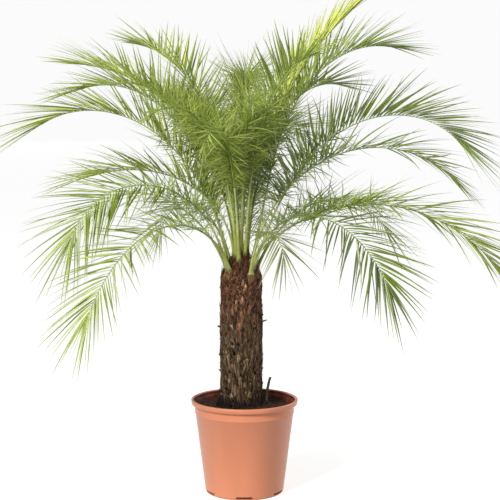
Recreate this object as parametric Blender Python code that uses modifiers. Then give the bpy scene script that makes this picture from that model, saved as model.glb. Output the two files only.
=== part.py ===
"""Young phoenix palm in a round plastic pot, standing on the pot's flat underside.

The origin is on the ground at the pot's axis, +Z is up and -Y is the front. The palm is a stout
trunk with a crown of arching feather fronds. Each frond is a three-sided rib whose outline is
cut back to the rib between its leaflets, and an arched frond is two pieces, parted at its bend.
"""
import math
from collections import namedtuple

import bmesh
import bpy
import numpy as np
from mathutils import Matrix, Vector
from mathutils.bvhtree import BVHTree

# Clearances between neighbouring pieces, and the distance within which a piece's own points merge
GAP = 0.0003
LEAF_CLEARANCE = 0.0006
MERGE = 0.00001

# Pot
POT_HEIGHT = 0.212
RIM_RADIUS = 0.120
OPENING_RADIUS = 0.1138
LIP_HEIGHT = 0.011
COLLAR_HEIGHT = 0.030
COLLAR_RADIUS = 0.1115
COLLAR_STEP = 0.0012
BASE_RADIUS = 0.0875
WALL = 0.003
FLOOR = 0.004
CORNER = 0.006
FILLET = 0.004
LIP_ROUND = 0.0022
LIP_RAMP = 0.004
LIP_TAPER = 0.0012
LIP_UNDERCUT = 0.0016
LIP_STEPS = 2
CORNER_STEPS = 3
POT_STEPS = 40
SLOTS = 6
SLOT_SIZE = (0.030, 0.036, 0.0045)
SLOT_HEIGHT = 0.0065
FRONT = -90

# Soil
SOIL_LEVEL = 0.194
SOIL_MOUND = 0.202
MOUND_RADIUS = 0.060
MOUND_SLOPE = 0.020
SOIL_DISH = 0.002

# Trunk, which leans a little to the left of the pot's axis
TRUNK_X = -0.007
TRUNK_FOOT = SOIL_MOUND + GAP
TRUNK_SHOULDER = 0.490
TRUNK_TOP = 0.548
TRUNK_RADIUS = 0.049
FLARE = 0.006
FLARE_HEIGHT = 0.020
SHOULDER_RADIUS = 0.046
TOP_RADIUS = 0.006
TRUNK_SIDES = 30
TRUNK_RINGS = 22
BASE_ROWS = 11
BASES_ROUND = 7
BASE_DEPTH = 0.0035
BASE_EVENNESS = 0.55
TRUNK_WAVE = 0.0012
WAVES_ROUND = 3
WAVE_TWIST = 9

# Rib of a frond: half width and depth at its foot, where its leaflets start and at its tip
RIB_FOOT = (0.0065, 0.0085)
YOUNG_FOOT = (0.0032, 0.0050)
RIB_MIDDLE = (0.0032, 0.0055)
RIB_TIP = (0.0018, 0.0034)
RIDGE_SHARE = 0.6
RIB_STEPS = 60
STEM_RINGS = 4
BARE_SHARE = 0.24
SPLIT_BEND = 70
SPLIT_LENGTH = 0.45

# Leaflets: each has its widest place at its shoulder, and their lengths at the first pair, halfway
# and at the tip are shares of the frond's longest. They stand in a vee where the rib rises and lie
# flatter where it falls. The rib's middle slope tells a frond's age: an old one lets them droop more
PAIR_SPACING = 0.030
LEAF_ROOT = 0.009
LEAF_WIDTH = 0.015
LEAF_THICKNESS = 0.0019
LEAF_SHOULDER = 0.40
LEAF_BASE_LENGTH = 0.065
LEAF_GROWTH = 0.18
LEAF_SHARES = (0.45, 1.0, 0.9)
TERMINAL_SHARE = 0.7
ROOT_ANGLE = 72
TIP_ANGLE = 30
ANGLE_EASE = 0.7
VEE_GROWTH = 0.5
OLD_DROOP = 0.08
YOUNG_DROOP = 0.03
OLD_SLOPE = -10
YOUNG_SLOPE = 60

# What a leaflet tries until it is clear: raised and swung forwards, in degrees, and cut to a share
LEAF_TRIES = [
    (0, 0, 1.0), (9, 0, 1.0), (-9, 0, 1.0), (0, 7, 1.0), (0, -7, 1.0), (18, 0, 1.0), (-18, 0, 1.0),
    (9, 7, 0.9), (-9, -7, 0.9), (0, 0, 0.75), (12, 0, 0.7), (-12, 0, 0.7), (0, 8, 0.55), (0, -8, 0.5),
]

# Each frond: heading of its rib seen from above (0 is +X, 270 is the front), its slope at the
# foot, halfway and at the tip, all in degrees, the rib's length in metres, how far up the trunk's
# cone it sits (the oldest sit lowest), the share of the usual length that its leaflets have, the
# least angle that they are raised by, the twist of its rib at the tip, which turns the right-hand
# row down, and the share of the usual angle by which its leaflets stand off the rib
Frond = namedtuple("Frond", "name heading rise middle fall length seat leaf vee twist spread")
FRONDS = [
    Frond("left_1", 181, 74, 42, -34, 0.60, 0.62, 1.00, 12, 0, 1.0),
    Frond("left_2", 170, 75, 58, -20, 0.58, 0.49, 0.80, 12, 0, 1.0),
    Frond("left_3", 149, 86, 46, 6, 0.64, 0.80, 0.92, 12, 0, 1.0),
    Frond("left_4", 134, 84, 57, 8, 0.62, 0.98, 0.76, 12, 0, 1.0),
    Frond("left_5", 213, 78, 14, -72, 0.53, 0.29, 0.92, -4, -50, 1.0),
    Frond("left_6", 198, 86, 27, -16, 0.42, 0.80, 1.10, 12, 0, 1.0),
    Frond("left_7", 230, 67, -12, -62, 0.55, 0.24, 0.88, 12, -8, 1.0),
    Frond("right_1", 28, 86, 63, 38, 0.62, 0.98, 0.80, 12, 0, 0.5),
    Frond("right_2", 18, 74, 65, -9, 0.64, 0.61, 0.82, 12, 0, 1.0),
    Frond("right_3", 46, 86, 54, -10, 0.56, 0.84, 0.85, 12, 0, 1.0),
    Frond("right_4", 352, 71, 38, -54, 0.65, 0.45, 0.85, 35, 0, 1.0),
    Frond("right_5", 346, 78, 26, -44, 0.58, 0.60, 0.70, 12, 10, 1.0),
    Frond("right_6", 326, 46, 3, -48, 0.67, 0.58, 0.80, 12, 8, 0.85),
    Frond("right_7", 314, 74, -4, -60, 0.50, 0.31, 0.92, 6, 22, 1.0),
    Frond("right_8", 298, 84, 24, -84, 0.23, 0.10, 1.05, -14, 0, 1.0),
    Frond("front_1", 258, 82, 48, -40, 0.50, 0.60, 0.90, 12, 0, 1.0),
    Frond("front_2", 276, 84, 60, -20, 0.48, 0.90, 0.80, 12, 0, 1.0),
    Frond("front_3", 238, 82, 52, -25, 0.52, 0.75, 0.90, 12, 0, 1.0),
    Frond("front_4", 300, 84, 64, 10, 0.54, 0.80, 0.90, 12, 0, 1.0),
    Frond("front_5", 222, 84, 54, -4, 0.54, 0.85, 0.80, 12, 0, 1.0),
    Frond("back_1", 70, 76, 40, -30, 0.56, 0.42, 1.00, 12, 0, 1.0),
    Frond("back_2", 88, 84, 60, -5, 0.55, 0.80, 0.80, 12, 0, 1.0),
    Frond("back_3", 102, 76, 40, -35, 0.54, 0.42, 1.00, 12, 0, 1.0),
    Frond("back_4", 118, 80, 50, -5, 0.54, 0.68, 0.90, 12, 0, 1.0),
    Frond("back_5", 142, 62, 10, -50, 0.54, 0.20, 1.00, 6, 0, 1.0),
    Frond("back_6", 44, 60, 8, -50, 0.54, 0.10, 1.00, 6, 0, 1.0),
    Frond("back_7", 84, 62, 10, -45, 0.52, 0.08, 1.00, 6, 0, 1.0),
    Frond("back_8", 116, 60, 6, -50, 0.52, 0.08, 1.00, 6, 0, 1.0),
]

# The youngest leaves stand folded in the heart: heading, lean from upright and length
SPEARS = [(75, 6, 0.40), (200, 5, 0.30)]
SPEAR_WIDTH = 0.012
SPEAR_THICKNESS = 0.007
SPEAR_OFFSET = 0.0045
SPEAR_SECTIONS = [(0.0, 0.35), (0.25, 1.0), (0.75, 0.8)]

# A dead leaf stalk stands in the soil at the right of the trunk and bends away from it
STALK_FOOT = (0.0495, 0.002)
STALK_HEIGHT = 0.058
STALK_BEND = 0.0085
STALK_RADIUS = 0.0026
STALK_TAPER = 0.6
STALK_STEPS = 5

# Plain colour and roughness of each material
COLOURS = {
    "terracotta_plastic": ((0.62, 0.25, 0.15), 0.5),
    "potting_soil": ((0.03, 0.02, 0.015), 0.95),
    "fibrous_bark": ((0.12, 0.08, 0.05), 0.9),
    "frond_green": ((0.20, 0.29, 0.06), 0.55),
    "young_leaf_green": ((0.36, 0.46, 0.12), 0.5),
}
SHARP_ANGLE = 60

Frame = namedtuple("Frame", "point along side up")
Leaf = namedtuple("Leaf", "roots shoulder tip wide thick")


def blend(first, second, share):
    """Value between two numbers."""
    return first + (second - first) * share


def through(start, middle, end, share):
    """Value on the smooth curve that runs through three values, at a share of the way."""
    first = start * (1 - share) * (1 - 2 * share)
    second = middle * 4 * share * (1 - share)
    return first + second + end * share * (2 * share - 1)


def clear_scene():
    """Remove every object of the opened file."""
    for obj in list(bpy.data.objects):
        bpy.data.objects.remove(obj, do_unlink=True)


def make_collection(name):
    """New collection linked to the scene."""
    collection = bpy.data.collections.new(name)
    bpy.context.scene.collection.children.link(collection)
    return collection


def make_material(name, colour, roughness):
    """Plain Principled material."""
    material = bpy.data.materials.new(name)
    material.use_nodes = True
    shader = material.node_tree.nodes["Principled BSDF"]
    shader.inputs["Base Color"].default_value = (*colour, 1.0)
    shader.inputs["Roughness"].default_value = roughness
    shader.inputs["Metallic"].default_value = 0.0
    material.diffuse_color = (*colour, 1.0)
    return material


def add_object(name, bm, material, collection, place=(0.0, 0.0, 0.0)):
    """Turn a bmesh in world coordinates into an object whose origin is at a place."""
    bmesh.ops.translate(bm, verts=bm.verts, vec=-Vector(place))
    mesh = bpy.data.meshes.new(name)
    bm.to_mesh(mesh)
    bm.free()
    mesh.materials.append(material)
    obj = bpy.data.objects.new(name, mesh)
    obj.location = place
    collection.objects.link(obj)
    return obj


def turned(name, profile, steps, material, collection):
    """Turn a profile of (radius, height) points about the Z axis."""
    bm = bmesh.new()
    points = [bm.verts.new((radius, 0.0, height)) for radius, height in profile]
    for first, second in zip(points, points[1:]):
        bm.edges.new((first, second))
    obj = add_object(name, bm, material, collection)
    screw = obj.modifiers.new("Screw", "SCREW")
    screw.steps = steps
    screw.render_steps = steps
    screw.use_merge_vertices = True
    screw.merge_threshold = MERGE
    screw.use_smooth_shade = True
    return obj


def arc(centre, radius, start, end, count):
    """Points on an arc in the profile plane, angles in degrees from +X."""
    angles = [math.radians(start + (end - start) * i / count) for i in range(count + 1)]
    return [(centre[0] + radius * math.cos(a), centre[1] + radius * math.sin(a)) for a in angles]


def outer_wall_radius(height):
    """Outer radius of the tapered wall below the collar."""
    top = POT_HEIGHT - COLLAR_HEIGHT
    return BASE_RADIUS + (COLLAR_RADIUS - COLLAR_STEP - BASE_RADIUS) * height / top


def inner_wall_radius(height):
    """Inner radius of the wall, which tapers evenly up to the lip's ramp."""
    return outer_wall_radius(height) - WALL


def pot_profile():
    """Inside of the floor, up the inner wall, over the lip and down to the flat underside."""
    collar = POT_HEIGHT - COLLAR_HEIGHT
    lip = POT_HEIGHT - LIP_HEIGHT
    crown = POT_HEIGHT - LIP_ROUND
    corner = inner_wall_radius(CORNER)
    profile = [(0.0, FLOOR), (corner - FILLET, FLOOR), (corner, FLOOR + FILLET)]
    profile += [(inner_wall_radius(lip), lip), (OPENING_RADIUS, lip + LIP_RAMP)]
    profile += arc((OPENING_RADIUS + LIP_ROUND, crown), LIP_ROUND, 180, 90, LIP_STEPS)
    profile += arc((RIM_RADIUS - LIP_ROUND, crown), LIP_ROUND, 90, 0, LIP_STEPS)
    profile += [(RIM_RADIUS - LIP_TAPER, lip), (COLLAR_RADIUS, lip - LIP_UNDERCUT), (COLLAR_RADIUS, collar)]
    profile += [(COLLAR_RADIUS - COLLAR_STEP, collar - COLLAR_STEP)]
    profile += [(outer_wall_radius(2 * CORNER), 2 * CORNER)]
    profile += arc((outer_wall_radius(CORNER) - CORNER, CORNER), CORNER, 0, -90, CORNER_STEPS)
    profile += [(0.0, 0.0)]
    return profile


def make_pot(material, collection, cutters):
    """Pot with drainage slots through the rounded foot of its wall."""
    pot = turned("pot", pot_profile(), POT_STEPS, material, collection)
    for index in range(SLOTS):
        angle = math.radians(FRONT + 360 * index / SLOTS)
        radius = BASE_RADIUS - CORNER
        place = (radius * math.cos(angle), radius * math.sin(angle), SLOT_HEIGHT)
        bpy.ops.mesh.primitive_cube_add(size=1.0, location=place, rotation=(0.0, 0.0, angle))
        cutter = bpy.context.object
        cutter.name = f"slot_cutter_{index + 1}"
        cutter.scale = SLOT_SIZE
        cutter.hide_render = True
        cutter.display_type = "WIRE"
        for old in list(cutter.users_collection):
            old.objects.unlink(cutter)
        cutters.objects.link(cutter)
    cut = pot.modifiers.new("Drainage slots", "BOOLEAN")
    cut.operation = "DIFFERENCE"
    cut.operand_type = "COLLECTION"
    cut.collection = cutters
    cut.solver = "EXACT"
    return pot


def make_soil(material, collection):
    """Soil that fills the pot, mounded to a flat round the trunk's foot."""
    corner = inner_wall_radius(CORNER) - GAP
    foot = FLOOR + GAP
    profile = [(0.0, SOIL_MOUND), (MOUND_RADIUS, SOIL_MOUND)]
    profile += [(MOUND_RADIUS + MOUND_SLOPE, SOIL_LEVEL + SOIL_DISH)]
    profile += [(inner_wall_radius(SOIL_LEVEL) - GAP, SOIL_LEVEL)]
    profile += [(corner, foot + FILLET), (corner - FILLET, foot), (0.0, foot)]
    return turned("soil", profile, POT_STEPS, material, collection)


def leaf_base(angle, height):
    """How far a cut leaf base stands out, from 0 in the groove under it to 1 at its lip."""
    row = (height - TRUNK_FOOT) / (TRUNK_SHOULDER - TRUNK_FOOT) * BASE_ROWS
    column = angle / (2 * math.pi) * BASES_ROUND + math.floor(row) / 2
    across = math.cos(2 * math.pi * column)
    rise = row - math.floor(row)
    return rise * (BASE_EVENNESS + (1 - BASE_EVENNESS) * across)


def trunk_radius(angle, height):
    """Radius of the trunk: flared foot, even stem and a cone for the frond stems above it."""
    if height >= TRUNK_SHOULDER:
        share = (height - TRUNK_SHOULDER) / (TRUNK_TOP - TRUNK_SHOULDER)
        return blend(SHOULDER_RADIUS, TOP_RADIUS, share)
    foot = max(0.0, 1 - (height - TRUNK_FOOT) / FLARE_HEIGHT)
    wave = TRUNK_WAVE * math.sin(WAVES_ROUND * angle + WAVE_TWIST * height)
    return TRUNK_RADIUS + FLARE * foot * foot + wave - BASE_DEPTH * (1 - leaf_base(angle, height))


def extrude_cap(bm, cap):
    """Extrude the open end of a limb, which leaves its new cap where the old one was."""
    return bmesh.ops.extrude_discrete_faces(bm, faces=[cap])["faces"][0]


def close_limb(bm):
    """Fill the end that the first extrusion left open and turn every face outwards."""
    bmesh.ops.holes_fill(bm, edges=bm.edges, sides=0)
    bmesh.ops.recalc_face_normals(bm, faces=bm.faces)


def make_trunk(material, collection):
    """Trunk from a flat cut at the soil to its tip, with coarse leaf bases round it."""
    stem = TRUNK_SHOULDER - TRUNK_FOOT
    heights = [TRUNK_FOOT + stem * i / TRUNK_RINGS for i in range(TRUNK_RINGS)]
    heights += [TRUNK_SHOULDER, (TRUNK_SHOULDER + TRUNK_TOP) / 2, TRUNK_TOP]
    bm = bmesh.new()
    bmesh.ops.create_circle(bm, cap_ends=True, radius=TRUNK_RADIUS, segments=TRUNK_SIDES)
    bmesh.ops.translate(bm, verts=bm.verts, vec=(TRUNK_X, 0.0, 0.0))
    cap = bm.faces[:][0]
    for level, height in enumerate(heights):
        if level:
            cap = extrude_cap(bm, cap)
        for vert in cap.verts:
            angle = math.atan2(vert.co.y, vert.co.x - TRUNK_X)
            radius = trunk_radius(angle, height)
            vert.co = (TRUNK_X + radius * math.cos(angle), radius * math.sin(angle), height)
    close_limb(bm)
    return add_object("trunk", bm, material, collection, (TRUNK_X, 0.0, TRUNK_FOOT))


def direction(heading, slope):
    """Unit vector from a heading and a slope in degrees."""
    turn = math.radians(heading)
    lift = math.radians(slope)
    return Vector((math.cos(lift) * math.cos(turn), math.cos(lift) * math.sin(turn), math.sin(lift)))


def slope_at(frond, share):
    """Slope of the rib in degrees at a share of its length, through its three named slopes."""
    return through(frond.rise, frond.middle, frond.fall, share)


def rib_size(frond, distance):
    """Half width and depth of the rib at a distance along it."""
    share = distance / frond.length
    foot = [blend(old, young, frond.seat) for old, young in zip(RIB_FOOT, YOUNG_FOOT)]
    if share < BARE_SHARE:
        return [blend(a, b, share / BARE_SHARE) for a, b in zip(foot, RIB_MIDDLE)]
    share = (share - BARE_SHARE) / (1 - BARE_SHARE)
    return [blend(a, b, share) for a, b in zip(RIB_MIDDLE, RIB_TIP)]


def rib_corners(frond, frame, distance):
    """Ridge and the two lower corners of the rib's section."""
    half, depth = rib_size(frond, distance)
    ridge = frame.point + frame.up * depth * RIDGE_SHARE
    lower = frame.point - frame.up * depth * (1 - RIDGE_SHARE)
    return [ridge, lower + frame.side * half, lower - frame.side * half]


def frame_at(frond, path, distance):
    """Point of the rib, its direction, its right-hand side and its upper side, as the rib twists."""
    share = distance / frond.length
    along = direction(frond.heading, slope_at(frond, share))
    side = direction(frond.heading - 90, 0)
    up = side.cross(along)
    turn = math.radians(frond.twist * math.sqrt(share))
    side, up = side * math.cos(turn) - up * math.sin(turn), up * math.cos(turn) + side * math.sin(turn)
    step = min(RIB_STEPS - 1, int(share * RIB_STEPS))
    point = path[step].lerp(path[step + 1], share * RIB_STEPS - step)
    return Frame(point, along, side, up)


def rib_path(frond):
    """Points along the rib, which starts just clear of the trunk's cone."""
    drop = SHOULDER_RADIUS - TOP_RADIUS
    rise = TRUNK_TOP - TRUNK_SHOULDER
    slant = math.hypot(drop, rise)
    outward = direction(frond.heading, 0)
    normal = outward * (rise / slant) + Vector((0.0, 0.0, drop / slant))
    seat = Vector((TRUNK_X, 0.0, TRUNK_SHOULDER + rise * frond.seat))
    seat += outward * (SHOULDER_RADIUS - drop * frond.seat)
    along = direction(frond.heading, frond.rise)
    side = direction(frond.heading - 90, 0)
    corners = rib_corners(frond, Frame(seat, along, side, side.cross(along)), 0.0)
    deepest = min(cone_distance(corner) for corner in corners)
    path = [seat + normal * (GAP - deepest)]
    step = frond.length / RIB_STEPS
    for index in range(RIB_STEPS):
        slope = slope_at(frond, (index + 0.5) / RIB_STEPS)
        path.append(path[-1] + direction(frond.heading, slope) * step)
    return path


def cone_distance(point):
    """Distance of a point outside the trunk's cone."""
    drop = SHOULDER_RADIUS - TOP_RADIUS
    rise = TRUNK_TOP - TRUNK_SHOULDER
    radius = math.hypot(point.x - TRUNK_X, point.y)
    return ((radius - SHOULDER_RADIUS) * rise + (point.z - TRUNK_SHOULDER) * drop) / math.hypot(drop, rise)


def pair_places(frond):
    """Distances along the rib at which its pairs of leaflets stand."""
    bare = frond.length * BARE_SHARE
    pairs = round((frond.length - bare) / PAIR_SPACING)
    spacing = (frond.length - bare) / pairs
    return [bare + spacing * (index + 0.5) for index in range(pairs)]


def rib_pieces(frond):
    """Start and end of each piece of the rib: a long arched one parts between pairs at its bend."""
    if frond.rise - frond.fall < SPLIT_BEND or frond.length < SPLIT_LENGTH:
        return [(0.0, frond.length)]
    halfway = (frond.rise + frond.fall) / 2
    places = pair_places(frond)
    breaks = [(a + b) / 2 for a, b in zip(places, places[1:])]
    part = min(breaks, key=lambda place: abs(slope_at(frond, place / frond.length) - halfway))
    return [(0.0, part - GAP / 2), (part + GAP / 2, frond.length)]


def ring_places(frond, start, end):
    """Distances of the rib's rings: up the bare stem, and on both sides of each leaflet's root."""
    rings = [frond.length * BARE_SHARE * index / STEM_RINGS for index in range(STEM_RINGS + 1)]
    rings += [place + edge * LEAF_ROOT / 2 for place in pair_places(frond) for edge in (-1, 1)]
    return [start] + [place for place in rings if start < place < end] + [end]


def make_rib(frond, path, start, end):
    """One piece of a frond's rib, with no leaflets yet, and its cap at the far end."""
    bm = bmesh.new()
    bmesh.ops.create_circle(bm, cap_ends=True, radius=RIB_FOOT[0], segments=3)
    cap = bm.faces[:][0]
    corners = [vert.co.copy() for vert in cap.verts]
    for level, place in enumerate(ring_places(frond, start, end)):
        if level:
            cap = extrude_cap(bm, cap)
        previous = corners
        corners = rib_corners(frond, frame_at(frond, path, place), place)
        for vert in cap.verts:
            nearest = min(range(3), key=lambda index: (vert.co - previous[index]).length)
            vert.co = corners[nearest]
    close_limb(bm)
    return bm


def leaf_droop(frond):
    """Share of its length by which a leaflet's tip hangs down: more on an old frond."""
    age = min(1.0, max(0.0, (YOUNG_SLOPE - frond.middle) / (YOUNG_SLOPE - OLD_SLOPE)))
    return blend(YOUNG_DROOP, OLD_DROOP, age)


def plan_leaf(frond, path, place, hand, trial):
    """Leaflet at a place on the rib: hand is 1 on its right, -1 on its left and 0 at its tip."""
    raised, swung, cut = trial
    frame = frame_at(frond, path, place)
    share = (place / frond.length - BARE_SHARE) / (1 - BARE_SHARE)
    lift = max(0.0, slope_at(frond, place / frond.length))
    vee = math.radians(frond.vee + VEE_GROWTH * lift + raised)
    outward = frame.side * hand * math.cos(vee) + frame.up * math.sin(vee)
    swing = math.radians(blend(ROOT_ANGLE, TIP_ANGLE, share**ANGLE_EASE) * frond.spread + swung)
    heading = frame.along * math.cos(swing) + outward * math.sin(swing)
    roots = leaf_roots(frond, path, place, hand)
    if not hand:
        heading = (frame.along + frame.up * math.radians(raised)).normalized()
    root = sum(roots, Vector()) / len(roots)
    longest = (LEAF_BASE_LENGTH + LEAF_GROWTH * frond.length) * frond.leaf
    length = longest * through(*LEAF_SHARES, share) * cut * (1.0 if hand else TERMINAL_SHARE)
    wide = frame.along if hand else frame.side
    wide = (wide - heading * wide.dot(heading)).normalized()
    thick = heading.cross(wide)
    thick *= math.copysign(1, thick.dot(frame.up))
    drop = Vector((0.0, 0.0, -length * leaf_droop(frond)))
    shoulder = root + heading * length * LEAF_SHOULDER + drop * LEAF_SHOULDER**2
    tip = root + heading * length + drop
    return Leaf(roots, shoulder, tip, wide, thick)


def leaf_roots(frond, path, place, hand):
    """Corners of the rib's face that a leaflet grows from, or of the cap at the rib's end."""
    if not hand:
        return rib_corners(frond, frame_at(frond, path, place), place)
    corners = []
    for edge in (-1, 1):
        spot = place + edge * LEAF_ROOT / 2
        section = rib_corners(frond, frame_at(frond, path, spot), spot)
        corners.append((section[0], section[1] if hand > 0 else section[2]))
    (ridge_behind, foot_behind), (ridge_ahead, foot_ahead) = corners
    return [ridge_behind, ridge_ahead, foot_ahead, foot_behind]


def leaf_shoulders(leaf, grown):
    """Corners of a leaflet's widest section, in the order of its roots."""
    wide = leaf.wide * (LEAF_WIDTH + grown) / 2
    thick = leaf.thick * (LEAF_THICKNESS + grown) / 2
    if len(leaf.roots) == 3:
        return [leaf.shoulder + thick, leaf.shoulder + wide - thick, leaf.shoulder - wide - thick]
    return [leaf.shoulder + wide * a + thick * b for a, b in ((-1, 1), (1, 1), (1, -1), (-1, -1))]


def leaf_probe(leaf, grown):
    """Closed shape of a leaflet, grown by a clearance, with both ways to part each of its quads."""
    count = len(leaf.roots)
    middle = sum(leaf.roots, Vector()) / count
    points = [root + (root - middle).normalized() * grown for root in leaf.roots]
    points += leaf_shoulders(leaf, grown)
    points.append(leaf.tip + (leaf.tip - leaf.shoulder).normalized() * grown)
    faces = []
    for first in range(count):
        second = (first + 1) % count
        quad = (first, second, second + count, first + count)
        faces += [tuple(corner for corner in quad if corner != left_out) for left_out in quad]
        faces.append((first + count, second + count, 2 * count))
    return points, BVHTree.FromPolygons(points, faces)


class Space:
    """What already stands in the crown, so that each new leaflet keeps clear of it."""

    def __init__(self):
        self.trees = []
        self.owners = []
        self.lows = []
        self.highs = []

    def add(self, points, tree, owner=None):
        """Take in a solid; its owner's name lets a leaflet meet its own rib and its opposite."""
        places = np.array([tuple(point) for point in points])
        self.trees.append(tree)
        self.owners.append(owner)
        self.lows.append(places.min(axis=0))
        self.highs.append(places.max(axis=0))

    def is_free(self, points, tree, owners):
        """Whether a probe touches nothing but what its owners own."""
        places = np.array([tuple(point) for point in points])
        near = np.all((np.array(self.lows) <= places.max(axis=0)), axis=1)
        near &= np.all((np.array(self.highs) >= places.min(axis=0)), axis=1)
        for index in np.flatnonzero(near):
            if self.owners[index] not in owners and self.trees[index].overlap(tree):
                return False
        return True


def place_leaf(frond, path, place, hand, space):
    """First trial of a leaflet that is clear of all before it, or None where none is."""
    for trial in LEAF_TRIES:
        leaf = plan_leaf(frond, path, place, hand, trial)
        points, probe = leaf_probe(leaf, 2 * LEAF_CLEARANCE)
        if space.is_free(points, probe, (frond.name, (frond.name, place))):
            space.add(*leaf_probe(leaf, 0.0), (frond.name, place))
            return leaf
    return None


def grow_leaf(bm, leaf):
    """Extrude a leaflet from the face of the rib that lies at its root."""
    middle = sum(leaf.roots, Vector()) / len(leaf.roots)
    root = min(bm.faces, key=lambda face: (face.calc_center_median() - middle).length)
    face = bmesh.ops.extrude_discrete_faces(bm, faces=[root])["faces"][0]
    shoulders = leaf_shoulders(leaf, 0.0)
    for vert in face.verts:
        nearest = min(range(len(leaf.roots)), key=lambda index: (vert.co - leaf.roots[index]).length)
        vert.co = shoulders[nearest]
    tip = bmesh.ops.poke(bm, faces=[face])["verts"][0]
    tip.co = leaf.tip


def make_fronds(material, collection, space):
    """All the fronds: every rib first, then the leaflets from the tips inwards."""
    paths = {frond: rib_path(frond) for frond in FRONDS}
    ribs = {}
    for frond in FRONDS:
        for start, end in rib_pieces(frond):
            bm = make_rib(frond, paths[frond], start, end)
            ribs[frond, start, end] = bm
            space.add([vert.co for vert in bm.verts], BVHTree.FromBMesh(bm), frond.name)
    leaves = [(frond, frond.length, 0) for frond in FRONDS]
    most = max(len(pair_places(frond)) for frond in FRONDS)
    for index in range(most):
        for frond in FRONDS:
            places = pair_places(frond)[::-1]
            if index < len(places):
                leaves += [(frond, places[index], 1), (frond, places[index], -1)]
    for frond, place, hand in leaves:
        leaf = place_leaf(frond, paths[frond], place, hand, space)
        if leaf is None:
            continue
        bm = next(bm for (owner, start, end), bm in ribs.items() if owner == frond and start < place <= end)
        grow_leaf(bm, leaf)
    for (frond, start, end), bm in ribs.items():
        part = "" if end - start == frond.length else "_outer" if start else "_inner"
        bmesh.ops.recalc_face_normals(bm, faces=bm.faces)
        place = frame_at(frond, paths[frond], start).point
        add_object(f"frond_{frond.name}{part}", bm, material, collection, place)


def make_spear(name, heading, lean, length, material, collection):
    """Folded young leaf: a slim four-sided blade that stands on the trunk's tip."""
    along = direction(heading, 90 - lean)
    side = direction(heading - 90, 0)
    up = side.cross(along)
    foot = Vector((TRUNK_X, 0.0, TRUNK_TOP + GAP)) + direction(heading, 0) * SPEAR_OFFSET
    bm = bmesh.new()
    bmesh.ops.create_circle(bm, cap_ends=True, radius=SPEAR_WIDTH / 2, segments=4)
    cap = bm.faces[:][0]
    angles = {vert: math.atan2(vert.co.y, vert.co.x) for vert in cap.verts}
    for share, size in SPEAR_SECTIONS:
        centre = foot + along * length * share
        if share:
            previous = {tuple(vert.co): angles[vert] for vert in cap.verts}
            cap = extrude_cap(bm, cap)
            angles = {vert: previous[tuple(vert.co)] for vert in cap.verts}
        for vert in cap.verts:
            wide = side * math.cos(angles[vert]) * SPEAR_WIDTH / 2
            deep = up * math.sin(angles[vert]) * SPEAR_THICKNESS / 2
            vert.co = centre + (wide + deep) * size
            if not share:
                vert.co.z = foot.z
    tip = bmesh.ops.poke(bm, faces=[cap])["verts"][0]
    tip.co = foot + along * length
    close_limb(bm)
    return add_object(name, bm, material, collection, foot)


def make_foot_stub(material, collection):
    """Dead leaf stalk beside the trunk: a thin tapered tube that bends outwards."""
    curve = bpy.data.curves.new("foot_stub", "CURVE")
    curve.dimensions = "3D"
    curve.bevel_depth = STALK_RADIUS
    curve.bevel_resolution = 1
    curve.use_fill_caps = True
    spline = curve.splines.new("POLY")
    spline.points.add(STALK_STEPS)
    for index, point in enumerate(spline.points):
        share = index / STALK_STEPS
        point.co = (STALK_BEND * share * share, 0.0, STALK_HEIGHT * share, 1.0)
        point.radius = blend(1.0, STALK_TAPER, share)
    curve.materials.append(material)
    stub = bpy.data.objects.new("foot_stub", curve)
    stub.location = (*STALK_FOOT, SOIL_MOUND + GAP)
    collection.objects.link(stub)


def take_in(space, obj):
    """Add a finished mesh object to what stands in the crown."""
    bm = bmesh.new()
    bm.from_mesh(obj.data)
    bm.transform(Matrix.Translation(obj.location))
    space.add([vert.co for vert in bm.verts], BVHTree.FromBMesh(bm))
    bm.free()


def main():
    """Build the whole plant."""
    clear_scene()
    parts = make_collection("phoenix_palm")
    cutters = make_collection("cutters")
    looks = {name: make_material(name, *look) for name, look in COLOURS.items()}
    make_pot(looks["terracotta_plastic"], parts, cutters)
    make_soil(looks["potting_soil"], parts)
    make_foot_stub(looks["fibrous_bark"], parts)
    trunk = make_trunk(looks["fibrous_bark"], parts)
    trunk.data.shade_smooth()
    trunk.data.set_sharp_from_angle(angle=math.radians(SHARP_ANGLE))
    space = Space()
    take_in(space, trunk)
    for index, (heading, lean, length) in enumerate(SPEARS):
        name = f"spear_{index + 1}"
        take_in(space, make_spear(name, heading, lean, length, looks["young_leaf_green"], parts))
    make_fronds(looks["frond_green"], parts, space)
    plant = bpy.data.objects.new("plant", None)
    for obj in parts.objects:
        obj.parent = plant
    parts.objects.link(plant)


if __name__ == "__main__":
    main()
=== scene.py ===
"""Looks of a young phoenix palm in a plastic pot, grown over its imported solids.

The fronds follow the solids' rule: each rib runs through three named slopes, and its leaflets stand
in two rows that swing forwards along it, here as slim folded blades.
Lengths are in metres and angles in degrees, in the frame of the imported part.
"""
import random
from collections import namedtuple
from itertools import combinations
from math import cos, degrees, hypot, pi, radians, sin, sqrt

import bpy
import numpy as np
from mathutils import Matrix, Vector, noise


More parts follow.
